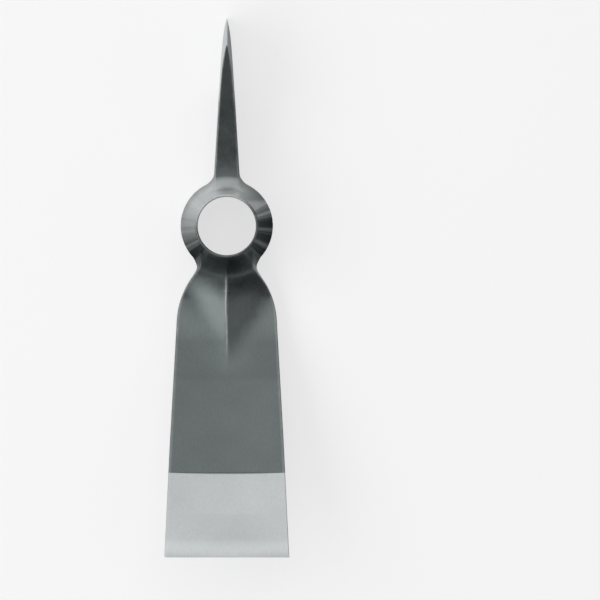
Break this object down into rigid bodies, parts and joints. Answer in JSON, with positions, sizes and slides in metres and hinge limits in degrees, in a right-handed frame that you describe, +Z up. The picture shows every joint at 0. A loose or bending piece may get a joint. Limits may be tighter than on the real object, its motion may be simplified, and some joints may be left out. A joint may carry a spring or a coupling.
{
  "type": "cutter mattock head",
  "caption": "Forged cutter mattock head: round tapered eye between a shouldered, ribbed hoe blade and a flared axe blade, both with bright ground edges.",
  "frame": {"origin": "on the ground, in the middle of the head's footprint", "axes": "+Z up along the eye's axis, from its wide end to its narrow, handle end; +Y towards the cutter, -Y towards the hoe; +X across the blades"},
  "size_m": [0.0876, 0.3772, 0.0827],
  "materials": {
    "forged_steel": "dark grey satin, as forged and oiled",
    "ground_steel": "bright, finely ground"
  },
  "bodies": {
    "root": {"eye_socket": "forged_steel", "hoe_blade": "forged_steel", "hoe_edge": "ground_steel", "cutter_blade": "forged_steel", "cutter_edge": "ground_steel"}
  },
  "joints": []
}
